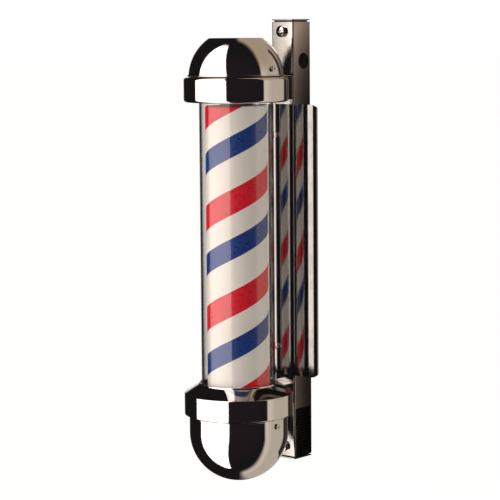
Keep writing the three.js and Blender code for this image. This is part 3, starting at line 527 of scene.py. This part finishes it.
def build_base():
    radius = radius_of("base_ring")
    low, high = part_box("base_ring")
    dome_low, dome_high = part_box("base_dome")
    bottom = dome_high[2] + GAP
    band_top, cone_top = -199.8 * MM, -187.2 * MM
    collar, socket, throat = 54.4 * MM, 52.4 * MM, 47.5 * MM
    ledge, edge = -200.3 * MM, 0.4 * MM
    dome_radius = 68 * MM
    spigot = dome_radius - SHEET - GAP
    inner = radius - CASTING
    slope = (cone_top - band_top) / (radius - collar)

    def under_cone(r):
        return cone_top - (r - collar) * slope - CASTING * 1.15

    ring = [
        (spigot - CASTING, low[2], edge), (spigot, low[2], edge), (spigot, bottom, edge),
        (radius, bottom, 1.2 * MM), (radius, band_top, 1.6 * MM), (collar, cone_top, 1.0 * MM),
        (collar, high[2], 0.9 * MM),
        (socket, high[2], 0.6 * MM), (socket, ledge, edge), (throat, ledge, edge),
        (throat, ledge - CASTING, edge), (socket + CASTING, ledge - CASTING, edge),
        (socket + CASTING, under_cone(socket + CASTING), MM), (inner, under_cone(inner), MM),
        (inner, bottom + CASTING, MM), (spigot - CASTING, bottom + CASTING, edge),
    ]
    placed(lathe("base_ring_turned", rounded(ring, steps=8)), "frame", CHROME, "base_ring")

    skirt = dome_low[2] + dome_radius
    rim = dome_high[2]
    bead_top, bead_low = rim - SEAM, rim - SEAM - BEAD
    bead_radius = radius_of("base_dome")
    inner_dome = dome_radius - SHEET
    bead = rounded([
        (dome_radius, bead_low - MM), (dome_radius, bead_low, 0.15 * MM), (bead_radius, bead_low, 0.6 * MM),
        (bead_radius, bead_top, 0.6 * MM), (dome_radius, bead_top, 0.2 * MM), (dome_radius, rim, 0.1 * MM),
        (inner_dome, rim, 0.3 * MM), (inner_dome, rim - MM)], closed=False)
    profile = [*arc(0, skirt, dome_radius, -90, 0, 72), *bead, *arc(0, skirt, inner_dome, 0, -90, 48)]
    profile[0] = (0, dome_low[2])
    profile[-1] = (0, dome_low[2] + SHEET)
    dome = lathe("base_dome_turned", profile, closed=False)
    placed(dome, "frame", CHROME, "base_dome")
    # painted shade: the groove between the base dome's bead and its rim is made near-black
    painted(dome, GROOVE_SHADE, in_groove(bead_top, rim, dome_radius))


def build_glass_and_drum():
    low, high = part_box("glass_cylinder")
    outer, wall, lip = radius_of("glass_cylinder"), 3 * MM, 0.5 * MM
    tube = [(outer - wall, low[2], lip), (outer, low[2], lip), (outer, high[2], lip),
            (outer - wall, high[2], lip)]
    placed(lathe("glass_tube", rounded(tube)), "frame", GLASS, "glass_cylinder")

    sleeve_low, sleeve_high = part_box("drum_sleeve")
    radius, thickness = radius_of("drum_sleeve"), SHEET
    sleeve = [(radius - thickness, sleeve_low[2]), (radius, sleeve_low[2]), (radius, sleeve_high[2]),
              (radius - thickness, sleeve_high[2])]
    placed(lathe("drum_film", sleeve), "drum", FILM, "drum_sleeve")

    cap_low, cap_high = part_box("drum_top_cap")
    bore, hub, spigot, joint = 22.1 * MM, 25 * MM, radius - thickness - GAP, sleeve_high[2] + 0.05 * MM
    ceiling, edge = cap_high[2] - 6 * MM, 0.3 * MM
    cap = [
        (bore, cap_low[2] + 4 * MM, edge), (hub, cap_low[2] + 4 * MM, edge), (hub, ceiling, MM),
        (spigot - 3 * MM, ceiling, MM), (spigot - 3 * MM, cap_low[2], edge), (spigot, cap_low[2], edge),
        (spigot, joint, 0.1 * MM), (radius, joint, 0.1 * MM), (radius, cap_high[2], 3.5 * MM),
        (bore, cap_high[2], edge),
    ]
    moulding = lathe("drum_cap_moulded", rounded(cap, steps=8))
    placed(moulding, "drum", WHITE_PLASTIC, "drum_top_cap")
    painted(moulding, FILM, lambda place: place.z > joint and from_axis(place) > radius - 3 * MM)

    gasket_low, gasket_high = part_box("lower_gasket")
    seal_outer, seal_inner, soft = radius_of("lower_gasket"), 46.4 * MM, 0.7 * MM
    mouth = low[2] - GAP
    seal = [
        (seal_inner, gasket_low[2], soft), (seal_outer, gasket_low[2], soft),
        (seal_outer, gasket_high[2], soft),
        (outer + GAP, gasket_high[2], 0.3 * MM), (outer + GAP, mouth, 0.2 * MM),
        (outer - wall - GAP, mouth, 0.2 * MM), (outer - wall - GAP, -190 * MM, 0.3 * MM),
        (seal_inner, -190 * MM, 0.4 * MM),
    ]
    placed(lathe("lower_gasket_moulded", rounded(seal)), "frame", RUBBER, "lower_gasket")


# ---- bracket, arms and reflector -----------------------------------------------------------

def bracket_plan(inset=0.0):
    """Plan of the bracket's outer face, or of a face inset from it, with rounded front corners."""
    half, front, bend = HALF_BRACKET - inset, BRACKET_FRONT + inset, BEND - inset
    return [(-half, 0), *arc(-half + bend, front + bend, bend, 180, 270, 10),
            *arc(half - bend, front + bend, bend, 270, 360, 10), (half, 0)]


def build_bracket():
    plan = bracket_plan() + bracket_plan(SHEET)[::-1]
    cover = bevelled(prism("bracket_cover_folded", plan, COVER_LOW.z, COVER_HIGH.z), 0.35 * MM)
    through = BRACKET_FRONT - 2 * MM, BRACKET_FRONT + SHEET + 2 * MM
    bolt_height = middle_of("upper_arm_bolt_left").z
    screw_height = middle_of("cover_screw_top").z
    reflector_screw = middle_of("reflector_screw_upper")
    holes = [(x, z * side, radius) for side in (-1, 1)
             for x, z, radius in ((0, bolt_height, WIRE_BORE), (0, screw_height, 2.3 * MM),
                                  (reflector_screw.x, reflector_screw.z, 2.1 * MM))]
    holes += [(x * BOLT_OFFSET, side * bolt_height, BOLT_HOLE) for x in (-1, 1) for side in (-1, 1)]
    cutters = [bar(radius, (x, through[0], z), (x, through[1], z)) for x, z, radius in holes]
    entry_y, entry_z, entry_radius = -14.9 * MM, 252.5 * MM, 11.1 * MM
    cutters.append(bar(entry_radius, (HALF_BRACKET - SHEET - 2 * MM, entry_y, entry_z),
                       (HALF_BRACKET + 2 * MM, entry_y, entry_z), sides=96))
    placed(finish_mesh(drilled(cover, cutters)), "frame", BRIGHT_STEEL, "bracket_cover")

    # Each lid is a full-size plate on a narrower plug, which leaves a groove next to the cover. The plug is
    # black, which paints shade into that groove on top of the groove's own shade.
    plate_thickness = 1.9 * MM
    for node, side in (("bracket_top_cap", 1), ("bracket_bottom_cap", -1)):
        low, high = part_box(node)
        outside, inside = (high[2], low[2]) if side > 0 else (low[2], high[2])
        plate_inner = outside - side * plate_thickness
        plate = prism(f"{node}_plate", bracket_plan(), *sorted((plate_inner, outside)))
        placed(finish_mesh(bevelled(plate, 0.5 * MM)), "frame", BRIGHT_STEEL, node)
        half, front = HALF_BRACKET - SHEET - MM, BRACKET_FRONT + SHEET + MM
        corners = [(-half, -3 * MM), (-half, front, MM), (half, front, MM), (half, -3 * MM)]
        plug = prism(f"{node}_plug", rounded(corners), *sorted((inside, plate_inner - side * 0.05 * MM)))
        placed(finish_mesh(plug), "frame", BLACK_PLASTIC, node)

    low, high = (Vector(corner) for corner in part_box("rating_label"))
    corners = rounded([(low.y, low.z, 1.5 * MM), (high.y, low.z, 1.5 * MM), (high.y, high.z, 1.5 * MM),
                       (low.y, high.z, 1.5 * MM)], steps=6)
    label = prism("rating_label_blank", corners, low.x, high.x)
    label.data.transform(Matrix(((0, 0, 1, 0), (1, 0, 0, 0), (0, 1, 0, 0), (0, 0, 0, 1))))
    placed(finish_mesh(label), "frame", LABEL, "rating_label")


def build_arms():
    for node, ring in (("upper_arm", "top_ring"), ("lower_arm", "base_ring")):
        low, high = (Vector(corner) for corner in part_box(node))
        hollow = radius_of(ring) + GAP
        reach = degrees(asin(high.x / hollow))
        plan = [(high.x, high.y), (-high.x, high.y),
                *arc(AXIS.x, AXIS.y, hollow, 90 + reach, 90 - reach, 24)]
        arm = bevelled(prism(f"{node}_cast", plan, low.z, high.z), 0.8 * MM, angle=60)
        bolt_height = middle_of(f"{node}_bolt_left").z
        cutters = [bar(radius, (x, low.y - 6 * MM, bolt_height), (x, high.y + 2 * MM, bolt_height))
                   for x, radius in ((0, WIRE_BORE), (-BOLT_OFFSET, BOLT_HOLE), (BOLT_OFFSET, BOLT_HOLE))]
        placed(finish_mesh(drilled(arm, cutters)), "frame", CHROME, node)


def build_reflector():
    """Polished sheet with four upright concave flutes, edges rolled back, and rounded corners."""
    low, high = (Vector(corner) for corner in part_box("reflector"))
    half_width, half_height, middle = high.x, (high.z - low.z) / 2, (high.z + low.z) / 2
    pitch, depth, thickness, edge, corner = 24.2 * MM, 3.45 * MM, MM, 6.5 * MM, 7 * MM
    flutes_end = 2 * pitch         # two flutes on each side of the middle
    slope = 22
    flute_radius = (pitch ** 2 / 4 + depth ** 2) / (2 * depth)
    deepest = low.y + depth
    roll_x = half_width - edge
    band_end = roll_x + edge * sin(radians(slope))
    roll_y = low.y + (band_end - flutes_end) * tan(radians(slope)) + edge * cos(radians(slope))

    def section(offset):
        """The sheet's face, moved back by offset, from the middle to the right-hand edge."""
        flutes = []
        steps = 40
        for step in range(1, 2 * steps + 1):
            from_middle = ((step - 1) % steps + 1 - steps / 2) * pitch / steps
            rise = sqrt(flute_radius ** 2 - from_middle ** 2)
            flutes.append((step * pitch / steps, deepest - flute_radius + rise + offset))
        roll = arc(roll_x, roll_y, edge - offset, slope - 90, 0, 20)
        return flutes + roll

    def whole(offset):
        right = section(offset)
        return [(-x, y) for x, y in right[::-1]] + [(0, deepest - depth + offset)] + right

    def reach(x):
        """Half the sheet's height at x, less where its corners are rounded."""
        beyond = abs(x) - (half_width - corner)
        if beyond <= 0:
            return half_height
        return half_height - corner + sqrt(max(corner ** 2 - beyond ** 2, 0))

    front, back = whole(0), whole(thickness)
    count = len(front)
    rows = 12
    vertices, faces = [], []
    for face in (front, back):
        for x, y in face:
            vertices += [(x, y, middle + reach(x) * (2 * row / rows - 1)) for row in range(rows + 1)]
    stride = rows + 1
    skin = count * stride
    for column in range(count - 1):
        for row in range(rows):
            a = column * stride + row
            quad = (a, a + stride, a + stride + 1, a + 1)
            faces += [quad, tuple(skin + v for v in quad[::-1])]
        for a in (column * stride, column * stride + rows):
            faces.append((a, a + stride, skin + a + stride, skin + a))
    for start in (0, (count - 1) * stride):
        for a in range(start, start + rows):
            faces.append((a, a + 1, skin + a + 1, skin + a))
    obj = finish_mesh(new_object("reflector_fluted", vertices, faces), sharp=24)
    placed(obj, "frame", REFLECTOR_STEEL, "reflector")


# ---- fasteners -----------------------------------------------------------------------------

def cross_screw(name, head_radius, head_height, shank_radius, length):
    """Pan-head screw along +Z with its seat at the origin and a cross recess in its head."""
    crown = head_height * 0.55
    profile = [(0, -length), (shank_radius * 0.6, -length), (shank_radius, -length + shank_radius * 0.5),
               (shank_radius, 0), *rounded([(shank_radius, 0), (head_radius, 0, 0.15 * MM),
                                            (head_radius, head_height - crown)], closed=False)[1:],
               *[(head_radius * cos(radians(a)), head_height - crown + crown * sin(radians(a)))
                 for a in range(6, 90, 6)], (0, head_height)]
    screw = lathe(name, profile, centre=Vector((0, 0, 0)), closed=False, segments=64)
    screw.modifiers.clear()
    arm, web, depth = head_radius * 0.52, head_radius * 0.13, head_height * 0.55     # of the recess
    cutters = []
    for along_x in (True, False):
        x, y = (arm, web) if along_x else (web, arm)
        outline = [(-x, -y), (x, -y), (x, y), (-x, y)]
        wing = prism("recess", outline, head_height - depth, head_height + MM)
        for vertex in wing.data.vertices:
            if vertex.co.z < head_height:
                vertex.co.x *= 0.45 if along_x else 0.8
                vertex.co.y *= 0.8 if along_x else 0.45
        cutters.append(wing)
    return finish_mesh(drilled(screw, cutters))


def place_screws():
    """Each screw stands where its CAD node does, its head pointing along the given direction."""
    right, front = Vector((1, 0, 0)), Vector((0, -1, 0))
    kinds = [
        ("dome_screw", 4.2, 2.8, 1.6, 6, {
            "top_dome_screw_left": -right, "top_dome_screw_right": right,
            "base_dome_screw_left": -right, "base_dome_screw_right": right}),
        ("cover_screw", 8, 6, 2, 7, {"cover_screw_top": front, "cover_screw_bottom": front}),
        ("reflector_screw", 4, 2.2, 1.8, 6.5, {
            "reflector_screw_upper": front, "reflector_screw_lower": front}),
    ]
    for kind, head_radius, head_height, shank, length, nodes in kinds:
        for index, (node, direction) in enumerate(nodes.items()):
            sizes = (size * MM for size in (head_radius, head_height, shank, length))
            screw = cross_screw(f"{node}_cross", *sizes)
            low, high = (Vector(corner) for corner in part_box(node))
            middle = (low + high) / 2
            span = abs((high - low).dot(direction)) / 2
            seat = middle + direction * (span - head_height * MM)
            turn = UP.rotation_difference(direction).to_matrix().to_4x4()
            twist = Matrix.Rotation(radians(20 + 37 * index), 4, "Z")
            screw.data.transform(Matrix.Translation(seat) @ turn @ twist)
            placed(screw, "frame", CHROME, node)


# ---- studio and camera ---------------------------------------------------------------------

def studio_place(right, near, height):
    """A point given from the pole's axis: to the camera's right, towards the camera, and up."""
    turn = radians(STUDIO_AZIMUTH)
    x = right * cos(turn) + near * sin(turn)
    y = right * sin(turn) - near * cos(turn)
    return AXIS + Vector((x, y, height))


def card(name, corners, colour, power):
    """A flat light that the camera itself doesn't see. power(shader, axes) gives its strength."""
    obj = new_object(name, corners, [tuple(range(len(corners)))])
    material = bpy.data.materials.new(name)
    material.use_nodes = True
    tree = material.node_tree
    tree.nodes.clear()
    s = Shader(tree)
    axes = s.node("SeparateXYZ", {0: s.node("TexCoord", output="Object")}).node.outputs
    glow = s.node("Emission", {"Color": colour, "Strength": power(s, axes)})
    output = tree.nodes.new("ShaderNodeOutputMaterial")
    tree.links.new(glow, output.inputs["Surface"])
    obj.data.materials.append(material)
    obj.visible_camera = False
    obj.visible_shadow = False
    obj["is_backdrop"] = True


def build_side_card():
    """Card behind the bracket's right side, which mirrors it: brighter upwards and away from the wall."""
    rear_x, front_x, beyond_x = 27 * MM, 57.5 * MM, 59.5 * MM
    reach, behind = 360 * MM, 10 * MM

    def power(s, axes):
        high = s.smooth_step(axes["Z"], 0.17, 0.33)
        share = s.math("DIVIDE", s.math("SUBTRACT", axes["X"], rear_x), front_x - rear_x)
        rear_power = s.math("MULTIPLY_ADD", high, 1.35, -1.97)       # as powers of ten
        climb = s.math("MULTIPLY_ADD", high, -0.63, 1.05)
        brightness = s.math("POWER", 10.0, s.math("MULTIPLY_ADD", climb, share, rear_power))
        return s.math("MULTIPLY", brightness, s.smooth_step(axes["X"], beyond_x, front_x, 0.05, 1.0))

    left, right = HALF_BRACKET + 0.7 * MM, 95 * MM
    corners = [(left, behind, -reach), (right, behind, -reach),
               (right, behind, reach), (left, behind, reach)]
    card("side_card", corners, (1.0, 0.76, 0.62, 1), power)


def build_studio():
    """A tall soft box close on the left, a warm panel on the right, darkness between, white behind."""
    world = bpy.data.worlds.new("studio")
    bpy.context.scene.world = world
    world.use_nodes = True
    tree = world.node_tree
    tree.nodes.clear()
    s = Shader(tree)
    axes = s.node("SeparateXYZ", {0: s.node("TexCoord", output="Generated")}).node.outputs
    turn = radians(STUDIO_AZIMUTH)

    def across(weight_x, weight_y):
        return s.math("MULTIPLY_ADD", axes["X"], weight_x, s.math("MULTIPLY", axes["Y"], weight_y))

    right = across(cos(turn), sin(turn))
    near = across(sin(turn), -cos(turn))
    up = axes["Z"]
    height = s.math("ABSOLUTE", up)

    # The warm panel's edge gets softer towards the top and the bottom.
    fourth = s.math("POWER", height, 4.0)
    panel_edge = s.math("MULTIPLY_ADD", near, -1.98, right)
    panel_edge = s.math("MULTIPLY_ADD", fourth, -0.35, panel_edge)
    softness = s.math("MULTIPLY_ADD", height, 0.35, 0.06)
    panel_mask = s.smooth_step(s.math("DIVIDE", panel_edge, softness), -0.5, 1.0)
    panel_mask = s.math("MULTIPLY", panel_mask, s.smooth_step(right, -0.02, 0.12))
    warm = s.mix(s.smooth_step(up, 0.02, 0.6), (0.66, 0.585, 0.485, 1), (0.44, 0.34, 0.23, 1))
    fading = s.smooth_step(panel_edge, 0.2, 0.9)
    warm = s.mix(s.math("MULTIPLY", fading, 0.5), warm, (0.36, 0.31, 0.25, 1))
    shade = s.mix(s.smooth_step(near, 0.2, 0.95), (0.010, 0.009, 0.010, 1), (0.016, 0.011, 0.014, 1))
    lit_colour = s.mix(panel_mask, shade, warm)
    lit_colour = s.mix(s.smooth_step(near, -0.93, -0.985), lit_colour, (0.80, 0.77, 0.73, 1))
    lit = s.node("Background", {"Color": lit_colour, "Strength": 1.0})
    plain = s.node("Background", {"Color": (1, 1, 1, 1), "Strength": 1.0})
    seen = s.node("LightPath", output="Is Camera Ray")
    surface = s.node("MixShader", {0: seen, 1: lit, 2: plain})
    output = tree.nodes.new("ShaderNodeOutputWorld")
    tree.links.new(surface, output.inputs["Surface"])

    # The soft box's far end is beside the pole and its near end almost in front. Only its far part
    # reaches the full height, so that it gets narrower towards the top and the bottom.
    far_end, near_end = Vector((-0.2957, 0.0085)), Vector((-0.0865, 0.260))
    foot, waist_low, waist_high, head = -1.4, -0.26, 0.23, 1.5

    def along(share, height):
        place = near_end.lerp(far_end, share)
        return studio_place(place.x, place.y, height)

    box = [along(1, foot), along(0.75, foot), along(0, waist_low), along(0, waist_high), along(0.75, head),
           along(1, head)]

    def power(s, axes):
        return s.smooth_step(axes["Z"], 0.60, 1.45, 1.95, 0.0)

    card("soft_box", box, (1.0, 0.93, 0.87, 1), power)

    # A narrower light further off, past the soft box's far end, fills the bracket's front face.
    strip_far, strip_low, strip_high = -0.6, -0.55, 0.40
    strip_from, strip_to = 0.028, 0.085
    strip = [studio_place(strip_far, strip_from, strip_low), studio_place(strip_far, strip_to, strip_low),
             studio_place(strip_far, strip_to, strip_high), studio_place(strip_far, strip_from, strip_high)]
    card("strip_light", strip, (1.0, 0.89, 0.82, 1), lambda s, axes: 1.05)


def build_floor():
    """Plain pale floor, well below the object, which only the camera sees."""
    size, drop = 40.0, 0.35
    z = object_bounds()[0][2] - drop
    corners = [(-size, -size, z), (size, -size, z), (size, size, z), (-size, size, z)]
    floor = new_object("floor", corners, [(0, 1, 2, 3)])
    material, shader, s = principled("pale_floor", (0.9, 0.9, 0.9), 0.9)
    shader.inputs["Emission Color"].default_value = (1, 1, 1, 1)
    shader.inputs["Emission Strength"].default_value = 0.9
    grain = s.noise(s.stretched((1, 1, 1)), 3, detail=3)
    link(s, s.mix(grain, (0.90, 0.90, 0.90, 1), (0.94, 0.94, 0.94, 1)), shader, "Base Color")
    floor.data.materials.append(material)
    for ray in ("visible_diffuse", "visible_glossy", "visible_transmission", "visible_shadow"):
        setattr(floor, ray, False)
    floor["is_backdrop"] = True


def build_camera():
    azimuth, elevation, roll = radians(STUDIO_AZIMUTH), radians(6.5), radians(-0.45)
    distance = 2.62
    target = Vector((0.0132, -0.127, -0.0033))
    towards = Vector((sin(azimuth) * cos(elevation), -cos(azimuth) * cos(elevation), sin(elevation)))
    data = bpy.data.cameras.new("camera")
    data.lens = 137.9
    data.sensor_width = 36
    camera = bpy.data.objects.new("camera", data)
    bpy.context.scene.collection.objects.link(camera)
    facing = towards.to_track_quat("Z", "Y").to_matrix().to_4x4()
    place = Matrix.Translation(target + towards * distance)
    camera.matrix_world = place @ facing @ Matrix.Rotation(roll, 4, "Z")
    bpy.context.scene.camera = camera
    bpy.context.scene.view_settings.view_transform = "Standard"


build_camera()
dress_cad_nodes()
build_top()
build_base()
build_glass_and_drum()
build_bracket()
build_arms()
build_reflector()
place_screws()
build_studio()
build_side_card()
build_floor()
